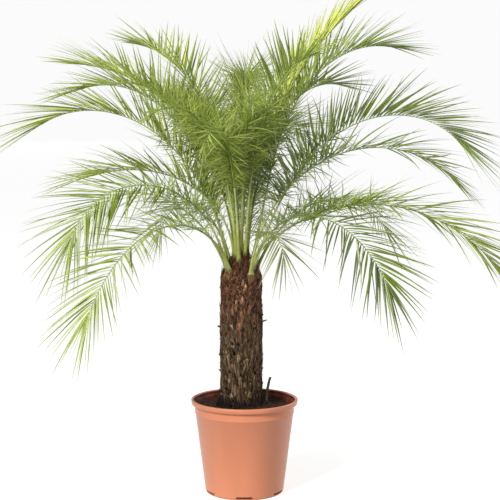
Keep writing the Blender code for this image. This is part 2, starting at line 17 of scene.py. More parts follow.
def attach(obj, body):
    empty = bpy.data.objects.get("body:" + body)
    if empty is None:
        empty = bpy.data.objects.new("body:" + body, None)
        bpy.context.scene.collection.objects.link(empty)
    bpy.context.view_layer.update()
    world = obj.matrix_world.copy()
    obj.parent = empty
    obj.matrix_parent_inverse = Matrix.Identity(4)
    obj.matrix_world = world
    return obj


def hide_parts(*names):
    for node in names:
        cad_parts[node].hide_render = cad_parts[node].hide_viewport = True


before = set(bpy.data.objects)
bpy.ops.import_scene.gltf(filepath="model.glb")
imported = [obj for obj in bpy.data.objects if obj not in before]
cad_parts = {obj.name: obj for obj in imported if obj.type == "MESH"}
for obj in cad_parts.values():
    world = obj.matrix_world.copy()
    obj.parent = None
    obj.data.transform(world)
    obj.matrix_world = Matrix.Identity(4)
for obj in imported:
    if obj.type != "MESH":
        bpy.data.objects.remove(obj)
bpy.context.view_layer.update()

# Clearance that the solids keep to each other
GAP = 0.0003

# Pot, as in the solids, turned finer
POT_HEIGHT = 0.212
RIM_RADIUS = 0.120
OPENING_RADIUS = 0.1138
LIP_HEIGHT = 0.011
COLLAR_HEIGHT = 0.030
COLLAR_RADIUS = 0.1115
COLLAR_STEP = 0.0012
BASE_RADIUS = 0.0875
WALL = 0.003
FLOOR = 0.004
CORNER = 0.006
FILLET = 0.004
LIP_ROUND = 0.0022
LIP_RAMP = 0.004
LIP_TAPER = 0.0012
LIP_UNDERCUT = 0.0016
POT_STEPS = 144
SLOTS = 6
SLOT_SIZE = (0.030, 0.036, 0.0045)
SLOT_HEIGHT = 0.0065
FRONT = -90

# Soil: level and mound, relief (fineness, height and layer of the noise) and crumbs
SOIL_LEVEL = 0.194
SOIL_MOUND = 0.202
MOUND_START = 0.048
MOUND_END = 0.080
SOIL_SIDES = 120
SOIL_RINGS = 34
SOIL_RELIEF = [(60, 0.0016, 0.3), (190, 0.0010, 4.2)]
CRUMBS = 900
CRUMB_SIZE = (0.0008, 0.0028)
CRUMB_SQUASH = [(0.6, 1.5), (0.6, 1.5), (0.4, 0.9)]

# Trunk, and the cone at its top that the fronds start from
TRUNK_X = -0.007
TRUNK_FOOT = SOIL_MOUND + GAP
TRUNK_SHOULDER = 0.490
TRUNK_TOP = 0.548
TRUNK_RADIUS = 0.049
SHOULDER_RADIUS = 0.046
TOP_RADIUS = 0.006
CONE_RISE = TRUNK_TOP - TRUNK_SHOULDER
CONE_DROP = SHOULDER_RADIUS - TOP_RADIUS
CONE_SLANT = hypot(CONE_DROP, CONE_RISE)
TAPER_HEIGHT = 0.29
RED_HEIGHT = 0.385
WORN_SHARE = 0.3
GOLDEN_TURN = 137.508

# Core under the bark: lumps by height, and relief (fineness across and up, height)
CORE_RADIUS = TRUNK_RADIUS - 0.0052
CORE_SHOULDER = SHOULDER_RADIUS - 0.0042
CORE_SIDES = 220
CORE_RINGS = 150
LUMP_FINENESS = 34
LUMP_RELIEF = 0.0016
CORE_RELIEF = [(5, 22, 0.0016), (26, 60, 0.0007)]

# Stubs of cut leaves: ranges of width, length and lift, thickness at foot and top, and shape
LEAF_BASES = 430
BASE_ROWS = 7
BASE_COLUMNS = 5
BASE_SIZES = [(0.009, 0.017), (0.020, 0.038), (0.0015, 0.0050)]
BASE_THICKNESS = (0.0010, 0.0030)
BASE_CROWN = 0.0011
BASE_TONGUE = 0.22
BASE_UNEVEN = 0.0012
BASE_TORN = 0.009

# Broken stalks, by length and radius
SPIKES = 80
SPIKE_SIZES = [(0.008, 0.016), (0.0014, 0.0030)]

# Loose fibres, and those between the stems
FIBRES = 5200
FIBRE_LENGTH = (0.010, 0.034)
FIBRE_RADIUS = (0.00022, 0.00055)
FIBRE_STAND = (0.0006, 0.0042)
FIBRE_LEAN = (0.10, 0.55)
FIBRE_FLARE = 0.0022
BLACK_SHARE = 0.25
COLLAR_FIBRES = 900
COLLAR_LENGTH = (0.010, 0.030)
COLLAR_RADII = (0.00035, 0.00090)
COLLAR_LIFT = (92, 132)

# Roots: height of their top, reach and sway
ROOT_STRANDS = 420
ROOT_RANGES = [(TRUNK_FOOT + 0.002, TRUNK_FOOT + 0.022), (0.002, 0.016), (-0.25, 0.25)]
ROOT_RADIUS = (0.0004, 0.0010)

# Ribs: half width and depth at the foot of an old and of a young frond, where the leaflets start,
# halfway along and at the tip
OLD_FOOT = (0.0084, 0.0060)
YOUNG_FOOT = (0.0056, 0.0046)
RIB_BARE = (0.0023, 0.0027)
RIB_HALFWAY = (0.0017, 0.0020)
RIB_TIP = (0.0006, 0.0008)
RIB_STEPS = 60
RIB_RINGS = 48
STEM_RINGS = 20
RIB_SIDES = 10
RIB_TOP = 0.35
CHANNEL_DEPTH = 0.12
CHANNEL_WIDTH = 0.4
BARE_SHARE = 0.24
FOOT_EASE = 0.36

# Foot of a stem, and the sheath under it: distance below the seat, and shares of width and depth
FOOT_RINGS = 8
FOOT_SHARE = 0.55
FOOT_GROWTH = 1.03
SHEATH_SECTIONS = [
    (0.022, 0.3, -1.4), (0.015, 0.8, -0.4), (0.009, 1.0, 0.2), (0.004, 1.05, 0.7), (0.0, 1.0, 1.0)
]
SHEATH_SLOPE = 110

# The solids' own rib, which sets how far each frond starts from the trunk
SOLID_FOOT = (0.0065, 0.0085)
SOLID_YOUNG_FOOT = (0.0032, 0.0050)
RIDGE_SHARE = 0.6

# Leaflets, by the solids' rule but in finer pairs, each rooted at a share of the rib's half width
PAIR_SPACING = 0.0078
LEAF_INSET = 0.7
PLANES = (12, -4, 4)
LEAF_BASE_LENGTH = 0.065
LEAF_GROWTH = 0.18
LEAF_SHARES = (0.45, 1.0, 0.9)
TERMINAL_SHARE = 0.7
ROOT_ANGLE = 72
TIP_ANGLE = 30
ANGLE_EASE = 0.7
FAN_START = 0.84
FAN_CLOSED = 0.2
VEE_GROWTH = 0.5
OLD_DROOP = 0.14
YOUNG_DROOP = 0.04
OLD_SLOPE = -10
YOUNG_SLOPE = 60

# Chance in the leaflets: its share at the rib's foot and tip, and its reach in angles and sizes
LOOSENESS = (1.8, 0.6)
LOOSE_RAISE = 6
LOOSE_SWING = 3.5
LEAF_ROLL = 24
LEAF_TWIST = 16
LEAF_FOLD = (10, 38)
LENGTH_RANGE = (0.90, 1.03)
WIDTH_RANGE = (0.8, 1.15)
DROOP_RANGE = (0.6, 1.4)

# Blade of a leaflet: its sections, thickness, width at the root, widest place and taper
STATIONS = [0.0, 0.05, 0.12, 0.22, 0.36, 0.52, 0.68, 0.82, 0.93]
SHORT_STATIONS = [0.0, 0.15, 0.4, 0.65, 0.85]
LEAF_THICKNESS = 0.0005
BLADE_ROOT = 0.34
BLADE_WIDEST = 0.20
BLADE_TAPER = 1.35

# Thin wisps below the long leaflets: angles up and off the rib, chance in bow, roll and twist, and
# ranges of droop and fold. Below those are the spines.
WISP_WIDTH = 0.0028
WISP_LENGTH = (0.035, 0.090)
WISP_ANGLES = [(-60, 90), (25, 100)]
WISP_TURNS = (0.16, 40, 30)
WISP_BENDS = [(0, 0.14), (18, 34)]
SPINE_START = 0.35
SPINE_SPACING = 0.020
SPINE_LENGTH = (0.012, 0.040)
SPINE_RADIUS = 0.0008
SPINE_ANGLES = [(5, 60), (28, 55)]

# Frond table of the solids: heading, slope at the foot, halfway and at the tip, length, seat, share of
# the leaflets' usual length, least angle that raises them, twist of the rib at its tip, and share of
# the leaflets' usual angle off the rib
Frond = namedtuple(
    "Frond", "name heading rise middle fall length seat leaf vee twist spread", defaults=(1.0, 12, 0, 1.0)
)
FRONDS = [Frond(*row) for row in [
    ("left_1", 181, 74, 42, -34, 0.60, 0.62),
    ("left_2", 170, 75, 58, -20, 0.58, 0.49, 0.80),
    ("left_3", 149, 86, 46, 6, 0.64, 0.80, 0.92),
    ("left_4", 134, 84, 57, 8, 0.62, 0.98, 0.76),
    ("left_5", 213, 78, 14, -72, 0.53, 0.29, 0.92, -4, -50),
    ("left_6", 198, 86, 27, -16, 0.42, 0.80, 1.10),
    ("left_7", 230, 67, -12, -62, 0.55, 0.24, 0.88, 12, -8),
    ("right_1", 28, 86, 63, 38, 0.62, 0.98, 0.80, 12, 0, 0.5),
    ("right_2", 18, 74, 65, -9, 0.64, 0.61, 0.82),
    ("right_3", 46, 86, 54, -10, 0.56, 0.84, 0.85),
    ("right_4", 352, 71, 38, -54, 0.65, 0.45, 0.85, 35),
    ("right_5", 346, 78, 26, -44, 0.58, 0.60, 0.70, 12, 10),
    ("right_6", 326, 46, 3, -48, 0.67, 0.58, 0.80, 12, 8, 0.85),
    ("right_7", 314, 74, -4, -60, 0.50, 0.31, 0.92, 6, 22),
    ("right_8", 298, 84, 24, -84, 0.23, 0.10, 1.05, -14),
    ("front_1", 258, 82, 48, -40, 0.50, 0.60, 0.90),
    ("front_2", 276, 84, 60, -20, 0.48, 0.90, 0.80),
    ("front_3", 238, 82, 52, -25, 0.52, 0.75, 0.90),
    ("front_4", 300, 84, 64, 10, 0.54, 0.80, 0.90),
    ("front_5", 222, 84, 54, -4, 0.54, 0.85, 0.80),
    ("back_1", 70, 76, 40, -30, 0.56, 0.42),
    ("back_2", 88, 84, 60, -5, 0.55, 0.80, 0.80),
    ("back_3", 102, 76, 40, -35, 0.54, 0.42),
    ("back_4", 118, 80, 50, -5, 0.54, 0.68, 0.90),
    ("back_5", 142, 62, 10, -50, 0.54, 0.20, 1.00, 6),
    ("back_6", 44, 60, 8, -50, 0.54, 0.10, 1.00, 6),
    ("back_7", 84, 62, 10, -45, 0.52, 0.08, 1.00, 6),
    ("back_8", 116, 60, 6, -50, 0.52, 0.08, 1.00, 6),
]]

# How a frond's leaflets differ from the rule: tints, share of their angle, how much they bow sideways
# and leave their plane, share of the rib below them, width, thin wisps on a metre of the rib above
# that, over which share of the rib, share of their length, and share of the rib with plain tints
Look = namedtuple(
    "Look",
    "tints swing bow loose bare width wisps wispy reach plain",
    defaults=(1.0, 0.05, 1.0, 0.24, 0.0050, 600, 0.30, 1.0, 0.0),
)
# SUNNY and SHADED are painted light and shade: the left fronds, on the key light's side, get lighter tints,
# some right fronds darker ones
SUNNY = {"fresh": 5, "green": 4, "deep": 2, "lime": 1}
PLAIN = {"green": 4, "fresh": 2, "deep": 4, "pale": 1}
SHADED = {"deep": 5, "olive": 3, "dusk": 3, "pale": 2}
# Mix of the outer half of right_1, mostly lime: painted highlight
BRIGHT = {"lime": 8, "fresh": 1}
# Mix of left_5, left_7 and the back fronds, rich in the pale tint: painted sheen
SHEEN_MIX = {"pale": 3, "fresh": 2, "green": 4, "deep": 3}
SPECKLED = {"green": 6, "deep": 1, "fresh": 8}
DRY = {"olive": 5, "ash": 2, "pale": 2}
LOW_BACK = Look(PLAIN, bow=0.12, loose=1.6, width=0.0038, wisps=900, wispy=0.5)
HIGH_BACK = Look(PLAIN, bow=0.16, loose=1.6, width=0.0038, wisps=1600, wispy=0.76, reach=1.15)
LOOKS = {
    "left": Look(SUNNY),
    "left_3": Look(SUNNY, width=0.0058),
    "left_4": Look(SUNNY, width=0.0058),
    "left_5": Look(SHEEN_MIX, swing=1.1, width=0.0048, wisps=250),
    "left_6": Look(SUNNY, wisps=300),
    "left_7": Look(SHEEN_MIX, swing=1.2, width=0.0046, wisps=150),
    "right": Look(PLAIN),
    "right_1": Look(BRIGHT, swing=0.95, bow=0.03, bare=0.30, width=0.0058, wisps=60, plain=0.5),
    "right_2": Look(PLAIN, width=0.0056),
    "right_3": Look(PLAIN, width=0.0058),
    "right_4": Look(SHADED, bow=0.10, width=0.0048),
    "right_5": Look(SHADED, bow=0.18, loose=1.5, width=0.0044),
    "right_6": Look(PLAIN, wisps=450),
    "right_7": Look(SHADED, swing=1.15, width=0.0054, wisps=250),
    "right_8": Look(DRY, swing=1.15, bare=0.42, wisps=150),
    "front": Look(SPECKLED, bow=0.18, loose=6.0, bare=0.34, width=0.0034, wisps=2000, reach=0.5),
    "front_2": Look(SPECKLED, bow=0.18, loose=5.0, bare=0.34, width=0.0034, wisps=1400, reach=0.7),
    "front_4": Look(SPECKLED, bow=0.06, bare=0.34, width=0.0058, wisps=1500),
    "back": Look(SHEEN_MIX, bow=0.12, loose=1.6, width=0.0036, wisps=250, reach=0.9),
    "back_1": LOW_BACK,
    "back_2": HIGH_BACK,
    "back_3": LOW_BACK,
    "back_4": HIGH_BACK,
}

# Youngest leaves, folded in the heart: heading, lean from upright and length, and their pleats
SPEARS = [(75, 6, 0.40), (200, 5, 0.30)]
SPEAR_OFFSET = 0.0045
PLEATS = 9
PLEAT_TURN = 40
PLEAT_WIDTH = 0.0075

# Dead leaf stalk beside the trunk
STALK_FOOT = (0.0495, 0.002)
STALK_HEIGHT = 0.058
STALK_BEND = 0.0085
STALK_RADIUS = 0.0031
STALK_TAPER = 0.95
STALK_TORN = 0.004
STALK_RINGS = 14
STALK_SIDES = 10

# Colours, in display values of 0 to 255: a bark's are its dark, middle and light streaks
TINTS = {
    "deep": (118, 138, 42),
    "green": (150, 168, 66),
    "olive": (142, 152, 90),
    "fresh": (172, 190, 90),
    # lime: painted highlight, the yellow-green of the most brightly lit leaflets
    "lime": (228, 240, 112),
    # pale: painted sheen, the grey-green that glossy leaflets show where they reflect the white surroundings
    "pale": (188, 200, 148),
    # dusk: painted shade, the darkened grey-green of the shaded right fronds
    "dusk": (104, 116, 76),
    "ash": (176, 172, 138),
}
STEM_PAINTS = {
    "frond_ribs": ("rib_green", (148, 168, 80)),
    "frond_stems": ("stem_green", (176, 184, 112)),
    "stem_feet": ("stem_foot_green", (164, 170, 82)),
    "stem_spines": ("spine_green", (150, 168, 84)),
}
YOUNG_PAINT = (184, 200, 96)
BARKS = {
    "bark_red": [(66, 36, 22), (132, 82, 52), (182, 128, 90)],
    "bark_tan": [(106, 68, 44), (180, 128, 92), (222, 180, 142)],
    "bark_grey": [(52, 36, 22), (110, 84, 56), (158, 132, 96)],
    "bark_pale": [(88, 66, 44), (156, 130, 94), (200, 176, 138)],
    "bark_black": [(24, 16, 10), (44, 30, 20), (80, 58, 38)],
    "dead_stalk": [(44, 44, 33), (74, 75, 58), (106, 105, 84)],
    "sheath_fibre": [(84, 60, 34), (124, 92, 54), (152, 130, 76)],
}
THIN_LEAF = {"Subsurface Weight": 0.25, "Subsurface Radius": (0.6, 1.0, 0.2), "Subsurface Scale": 0.003}
WHITE = (1.0, 1.0, 1.0, 1.0)
POT_PAINT = (226, 140, 102)
# Terracotta painted darker: painted shade on the pot's inside wall
INNER_SHADE_PAINTS = [(58, 26, 18), (104, 44, 34), (128, 56, 42)]
SOIL_PAINTS = [(36, 18, 11), (80, 46, 31)]
CRUMB_PAINTS = [(46, 24, 15), (104, 66, 46)]

# Camera, where the photograph was taken from
CAMERA_PLACE = (0.0125, -3.075, 0.871)
CAMERA_PITCH = 6
CAMERA_LENS = 100
SENSOR = 36

# Studio: its floor, and its lights by place, target, size and power
FLOOR_REACH = 30.0
FLOOR_SIDES = 96
WALL_HEIGHT = 5.0
FLOOR_GREY = 0.55
FLOOR_GLOW = 0.72
WORLD_STRENGTH = 0.41
KEY = ((-2.15, -3.15, 2.7), (0.0, 0.0, 0.5), 1.5, 212)
EDGE = ((2.6, 1.6, 0.9), (0.0, 0.0, 0.2), 0.8, 18)

Frame = namedtuple("Frame", "point along side up")
Blade = namedtuple("Blade", "length width droop bow roll twist fold")


# Materials

def paint(colour):
    """Linear colour from display values of 0 to 255."""
    return tuple((value / 255) ** 2.2 for value in colour)


def set_inputs(node, values):
    """Set values on a node's inputs, by name."""
    for name, value in values.items():
        node.inputs[name].default_value = value


def new_material(name, colour, roughness):
    """Principled material, its node tree and its shader."""
    material = bpy.data.materials.new(name)
    material.use_nodes = True
    tree = material.node_tree
    shader = tree.nodes["Principled BSDF"]
    set_inputs(shader, {"Base Color": (*colour, 1.0), "Roughness": roughness})
    return material, tree, shader


def object_noise(tree, scale, stretch=(1.0, 1.0, 1.0), detail=4.0):
    """Noise in object space, stretched by a share along each axis."""
    place = tree.nodes.new("ShaderNodeTexCoord")
    mapping = tree.nodes.new("ShaderNodeMapping")
    texture = tree.nodes.new("ShaderNodeTexNoise")
    set_inputs(mapping, {"Scale": stretch})
    set_inputs(texture, {"Scale": scale, "Detail": detail})
    tree.links.new(place.outputs["Object"], mapping.inputs["Vector"])
    tree.links.new(mapping.outputs["Vector"], texture.inputs["Vector"])
    return texture.outputs["Fac"]


def mottle(tree, shader, scale, stops, **more):
    """Base colour that follows noise through (place, colour) stops."""
    node = tree.nodes.new("ShaderNodeValToRGB")
    elements = node.color_ramp.elements
    while len(elements) < len(stops):
        elements.new(0.5)
    for element, (place, colour) in zip(elements, stops):
        element.position = place
        element.color = (*colour, 1.0)
    tree.links.new(object_noise(tree, scale, **more), node.inputs["Fac"])
    tree.links.new(node.outputs["Color"], shader.inputs["Base Color"])


def add_bump(tree, shader, scale, distance, strength=1.0, **more):
    """Bump from noise into the shader's normal."""
    bump = tree.nodes.new("ShaderNodeBump")
    set_inputs(bump, {"Distance": distance, "Strength": strength})
    tree.links.new(object_noise(tree, scale, **more), bump.inputs["Height"])
    tree.links.new(bump.outputs["Normal"], shader.inputs["Normal"])


def shade(colour, factor):
    """Colour made lighter or darker."""
    return tuple(min(1.0, value * factor) for value in colour)


def leaf_material(name, display, roughness=0.42):
    """Leaf green that varies a little from place to place."""
    colour = paint(display)
    material, tree, shader = new_material(name, colour, roughness)
    stops = [(0.3, shade(colour, 0.80)), (0.5, colour), (0.7, shade(colour, 1.18))]
    mottle(tree, shader, 45.0, stops)
    add_bump(tree, shader, 900.0, distance=0.0002, strength=0.4)
    set_inputs(shader, THIN_LEAF)
    return material


def bark_material(name):
    """Fibrous bark: short fine streaks along the trunk, with rough bump."""
    dark, middle, light = [paint(display) for display in BARKS[name]]
    material, tree, shader = new_material(name, middle, 0.9)
    stops = [(0.32, dark), (0.50, middle), (0.68, light)]
    mottle(tree, shader, 210.0, stops, stretch=(1.0, 1.0, 0.22), detail=8.0)
    add_bump(tree, shader, 420.0, distance=0.001, stretch=(1.0, 1.0, 0.2), detail=8.0)
    return material


def pot_material():
    """Satin moulded plastic, with faint flow marks and scuffs."""
    colour = paint(POT_PAINT)
    material, tree, shader = new_material("terracotta_plastic", colour, 0.42)
    stops = [(0.35, shade(colour, 0.93)), (0.65, shade(colour, 1.05))]
    mottle(tree, shader, 9.0, stops, stretch=(1.0, 1.0, 0.25), detail=3.0)
    rough = tree.nodes.new("ShaderNodeMapRange")
    set_inputs(rough, {"To Min": 0.30, "To Max": 0.46})
    tree.links.new(object_noise(tree, 60.0), rough.inputs["Value"])
    tree.links.new(rough.outputs["Result"], shader.inputs["Roughness"])
    add_bump(tree, shader, 700.0, distance=0.0001, strength=0.3)
    return material


def inner_shade_material():
    """Inside of the pot above the soil, the terracotta painted darker as painted shade."""
    dark, middle, light = [paint(display) for display in INNER_SHADE_PAINTS]
    material, tree, shader = new_material("stained_plastic", middle, 0.7)
    mottle(tree, shader, 55.0, [(0.35, dark), (0.65, light)], detail=6.0)
    add_bump(tree, shader, 500.0, distance=0.0002, strength=0.5)
    return material


def soil_material(name, paints):
    """Moist potting soil."""
    dark, light = [paint(display) for display in paints]
    material, tree, shader = new_material(name, dark, 0.9)
    mottle(tree, shader, 260.0, [(0.4, dark), (0.75, light)], detail=8.0)
    add_bump(tree, shader, 500.0, distance=0.001, detail=8.0)
    return material


def floor_material():
    """Plain floor, lifted to be as light as the photograph's."""
    material, _, shader = new_material("studio_floor", (FLOOR_GREY,) * 3, 0.9)
    set_inputs(shader, {"Emission Color": WHITE, "Emission Strength": FLOOR_GLOW})
    return material


# Mesh making

def new_object(name, data):
    """Object in the scene."""
    thing = bpy.data.objects.new(name, data)
    bpy.context.scene.collection.objects.link(thing)
    return thing


def new_mesh(name, points, edges, faces, *materials):
    """Mesh object in the scene."""
    mesh = bpy.data.meshes.new(name)
    mesh.from_pydata(points, edges, faces)
    for material in materials:
        mesh.materials.append(material)
    return new_object(name, mesh)


class Bundle:
    """Vertices and faces of many small shapes that become one piece."""

    def __init__(self):
        self.points = []
        self.faces = []

    def add(self, points, faces):
        """Take in one shape."""
        start = len(self.points)
        self.points.extend(map(tuple, points))
        self.faces.extend(tuple(start + corner for corner in face) for face in faces)

    def make(self, name, material, record_slot, nodes=(), smooth=True):
        """Make the piece, which rides on the plant's only body."""
        piece = new_mesh(name, self.points, [], self.faces, material)
        if smooth:
            piece.data.shade_smooth()
        settle(piece, nodes)


def settle(piece, nodes):
    """Bind a piece to the plant, and hide the solids that it replaces."""
    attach(piece, "root")
    if nodes:
        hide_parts(*nodes)


def loft_faces(rings, sides):
    """Faces of a loft of equal rings, closed at both ends."""
    faces = []
    for ring in range(rings - 1):
        for side in range(sides):
            ahead = (side + 1) % sides
            low, high = ring * sides, (ring + 1) * sides
            faces.append((low + side, low + ahead, high + ahead, high + side))
    faces.append(tuple(range(sides - 1, -1, -1)))
    faces.append(tuple(range((rings - 1) * sides, rings * sides)))
    return faces


def turns(sides, offset=0.0):
    """Angles of the corners round a circle, in radians."""
    return [2 * pi * (side + offset) / sides for side in range(sides)]


def circle(radius, height, sides):
    """Points round a level circle."""
    return [(radius * cos(angle), radius * sin(angle), height) for angle in turns(sides)]


def unit(rows):
    """Rows of an array, each made one long."""
    return rows / np.linalg.norm(rows, axis=1, keepdims=True)


def strand(points, thick, taper, sides=3):
    """Points and faces of a thin tube along a path, tapered by shares of its radius."""
    path = np.array(points, dtype=float)
    runs = unit(np.gradient(path, axis=0))
    guide = (0.31, 0.87, 0.22) if abs(runs[0][1]) < 0.8 else (0.9, 0.1, 0.3)
    first = unit(np.cross(runs, guide))
    second = np.cross(runs, first)
    corners = []
    for index, centre in enumerate(path):
        for angle in turns(sides):
            offset = first[index] * cos(angle) + second[index] * sin(angle)
            corners.append(centre + offset * thick * taper[index])
    return corners, loft_faces(len(path), sides)


# Values along a rib

def blend(first, second, share):
    """Value between two numbers."""
    return first + (second - first) * share


def through(start, middle, end, share):
    """Value at a share of the smooth curve through three values."""
    first = start * (1 - share) * (1 - 2 * share)
    second = middle * 4 * share * (1 - share)
    return first + second + end * share * (2 * share - 1)


def draw(dice, ranges):
    """One random value from each range."""
    return [dice.uniform(*reach) for reach in ranges]


def direction(heading, slope):
    """Unit vector from a heading and a slope."""
    turn = radians(heading)
    lift = radians(slope)
    return Vector((cos(lift) * cos(turn), cos(lift) * sin(turn), sin(lift)))


def slope_at(frond, share):
    """Slope of the rib at a share of its length."""
    return through(frond.rise, frond.middle, frond.fall, share)


def cone_distance(point):
    """Distance of a point outside the trunk's cone."""
    radius = hypot(point.x - TRUNK_X, point.y) - SHOULDER_RADIUS
    return (radius * CONE_RISE + (point.z - TRUNK_SHOULDER) * CONE_DROP) / CONE_SLANT


def rib_path(frond):
    """Points along the rib, from the same start as the solid's."""
    outward = direction(frond.heading, 0)
    normal = outward * (CONE_RISE / CONE_SLANT) + Vector((0.0, 0.0, CONE_DROP / CONE_SLANT))
    seat = Vector((TRUNK_X, 0.0, TRUNK_SHOULDER + CONE_RISE * frond.seat))
    seat += outward * (SHOULDER_RADIUS - CONE_DROP * frond.seat)
    along = direction(frond.heading, frond.rise)
    side = direction(frond.heading - 90, 0)
    up = side.cross(along)
    half, depth = [blend(old, young, frond.seat) for old, young in zip(SOLID_FOOT, SOLID_YOUNG_FOOT)]
    lower = seat - up * depth * (1 - RIDGE_SHARE)
    corners = [seat + up * depth * RIDGE_SHARE, lower + side * half, lower - side * half]
    path = [seat + normal * (GAP - min(cone_distance(corner) for corner in corners))]
    step = frond.length / RIB_STEPS
    for index in range(RIB_STEPS):
        path.append(path[-1] + direction(frond.heading, slope_at(frond, (index + 0.5) / RIB_STEPS)) * step)
    return path


def frame_at(frond, path, distance):
    """Point of the rib with its direction, right side and upper side."""
    share = min(1.0, distance / frond.length)
    along = direction(frond.heading, slope_at(frond, share))
    side = direction(frond.heading - 90, 0)
    up = side.cross(along)
    turn = radians(frond.twist * sqrt(share))
    side, up = side * cos(turn) - up * sin(turn), up * cos(turn) + side * sin(turn)
    step = min(RIB_STEPS - 1, int(share * RIB_STEPS))
    point = path[step].lerp(path[step + 1], share * RIB_STEPS - step)
    return Frame(point, along, side, up)


def rib_size(frond, share):
    """Half width and depth of the rib at a share of its length."""
    if share < BARE_SHARE:
        foot = [blend(old, young, frond.seat) for old, young in zip(OLD_FOOT, YOUNG_FOOT)]
        return [blend(a, b, (share / BARE_SHARE) ** FOOT_EASE) for a, b in zip(foot, RIB_BARE)]
    if share < 0.5:
        return [blend(a, b, (share - BARE_SHARE) / (0.5 - BARE_SHARE)) for a, b in zip(RIB_BARE, RIB_HALFWAY)]
    return [blend(a, b, (share - 0.5) / 0.5) for a, b in zip(RIB_HALFWAY, RIB_TIP)]


# Fronds

def rib_ring(here, half, depth):
    """Corners of the rib's section: round below and channelled above."""
    corners = []
    for angle in turns(RIB_SIDES, 0.5):
        across = cos(angle)
        height = sin(angle) * (RIB_TOP if sin(angle) > 0 else 1.0)
        height -= CHANNEL_DEPTH if abs(across) < CHANNEL_WIDTH else 0.0
        corners.append(here.point + here.side * across * half + here.up * height * depth)
    return corners


def add_rib(bundle, frond, path, start, end, rings):
    """One stretch of a rib, between two shares of its length."""
    corners = []
    for index in range(rings + 1):
        share = blend(start, end, index / rings)
        corners += rib_ring(frame_at(frond, path, share * frond.length), *rib_size(frond, share))
    bundle.add(corners, loft_faces(rings + 1, RIB_SIDES))


def add_blade(bundle, root, heading, wide, blade, stations=STATIONS):
    """One leaflet: a slim folded blade that bows sideways and droops."""
    share = np.array(stations + [1.0])[:, None]
    heading, wide = np.array(heading), np.array(wide)
    bow = wide * blade.bow
    centre = np.array(root) + (heading * share + bow * share**2) * blade.length
    centre[:, 2:] -= blade.length * blade.droop * share**2
    runs = heading + 2 * bow * share
    runs[:, 2:] -= 2 * blade.droop * share
    runs = unit(runs)
    wide = unit(wide - runs * np.sum(wide * runs, axis=1, keepdims=True))
    face = np.cross(runs, wide)
    face *= np.where(face[:, 2:] < 0, -1.0, 1.0)
    turn = np.radians(blade.roll + blade.twist * share)
    across = wide * np.cos(turn) + face * np.sin(turn)
    normal = face * np.cos(turn) - wide * np.sin(turn)
    grow = blend(BLADE_ROOT, 1.0, np.sqrt(np.minimum(1.0, share / BLADE_WIDEST)))
    taper = 1 - np.maximum(0.0, (share - BLADE_WIDEST) / (1 - BLADE_WIDEST)) ** BLADE_TAPER
    half = blade.width / 2 * grow * taper
    bend = np.radians(blade.fold * (1 - 0.5 * share))
    thick = normal * LEAF_THICKNESS / 2 * (1 - 0.7 * share)
    edge = across * half * np.cos(bend)
    raised = centre + normal * half * np.sin(bend)
    points = np.stack([raised - edge, centre + thick, raised + edge, centre - thick], axis=1)[:-1]
    rings = len(points)
    last = 4 * (rings - 1)
    faces = loft_faces(rings, 4)[:-1]
    faces += [(last + side, last + (side + 1) % 4, 4 * rings) for side in range(4)]
    bundle.add(np.vstack([points.reshape(-1, 3), centre[-1]]), faces)


def leaf_droop(frond):
    """Share of its length by which a leaflet hangs down."""
    age = min(1.0, max(0.0, (YOUNG_SLOPE - frond.middle) / (YOUNG_SLOPE - OLD_SLOPE)))
    return blend(YOUNG_DROOP, OLD_DROOP, age)


def leaf_heading(here, hand, vee, swing):
    """Direction of a leaflet, raised by vee and off the rib by swing."""
    vee, swing = radians(vee), radians(swing)
    outward = here.side * hand * cos(vee) + here.up * sin(vee)
    return here.along * cos(swing) + outward * sin(swing)


def add_leaflet(bundles, tint, frond, path, place, hand, look, plane, dice):
    """One leaflet: hand is 1 on the rib's right, -1 on its left and 0 at its tip."""
    here = frame_at(frond, path, place)
    share = (place / frond.length - BARE_SHARE) / (1 - BARE_SHARE)
    loose = blend(*LOOSENESS, share) * look.loose
    raised = (plane + dice.gauss(0, LOOSE_RAISE)) * loose
    swung = dice.gauss(0, LOOSE_SWING) * loose
    lift = max(0.0, slope_at(frond, place / frond.length))
    vee = frond.vee + VEE_GROWTH * lift + raised
    closed = blend(1.0, FAN_CLOSED, max(0.0, share - FAN_START) / (1 - FAN_START))
    open_angle = blend(ROOT_ANGLE, TIP_ANGLE, share**ANGLE_EASE) + swung
    heading = leaf_heading(here, hand, vee, open_angle * frond.spread * look.swing * closed)
    if not hand:
        heading = (here.along + here.up * sin(radians(raised))).normalized()
    half, depth = rib_size(frond, place / frond.length)
    root = here.point + here.side * hand * half * LEAF_INSET + here.up * depth * 0.1
    longest = (LEAF_BASE_LENGTH + LEAF_GROWTH * frond.length) * frond.leaf * look.reach
    length = longest * through(*LEAF_SHARES, share) * dice.uniform(*LENGTH_RANGE)
    length *= 1.0 if hand else TERMINAL_SHARE
    width = look.width * blend(0.7, 1.0, min(1.0, length / longest)) * dice.uniform(*WIDTH_RANGE)
    droop = leaf_droop(frond) * dice.uniform(*DROOP_RANGE)
    bow, roll, twist = dice.gauss(0, look.bow), dice.gauss(0, LEAF_ROLL), dice.gauss(0, LEAF_TWIST)
    blade = Blade(length, width, droop, bow, roll, twist, dice.uniform(*LEAF_FOLD))
    add_blade(bundles[tint], root, heading, here.along if hand else here.side, blade)


def frond_places(frond):
    """Distances along the rib at which pairs of leaflets stand."""
    bare = frond.length * BARE_SHARE
    pairs = round((frond.length - bare) / PAIR_SPACING)
    spacing = (frond.length - bare) / pairs
    return [bare + spacing * (index + 0.4) for index in range(pairs)]


def frond_look(frond):
    """Look of a frond, or else of its side of the crown."""
    return LOOKS.get(frond.name) or LOOKS[frond.name.split("_")[0]]


def deal_tint(tints, dice):
    """Tint, drawn by its share of the mix."""
    return dice.choices(list(tints), list(tints.values()))[0]


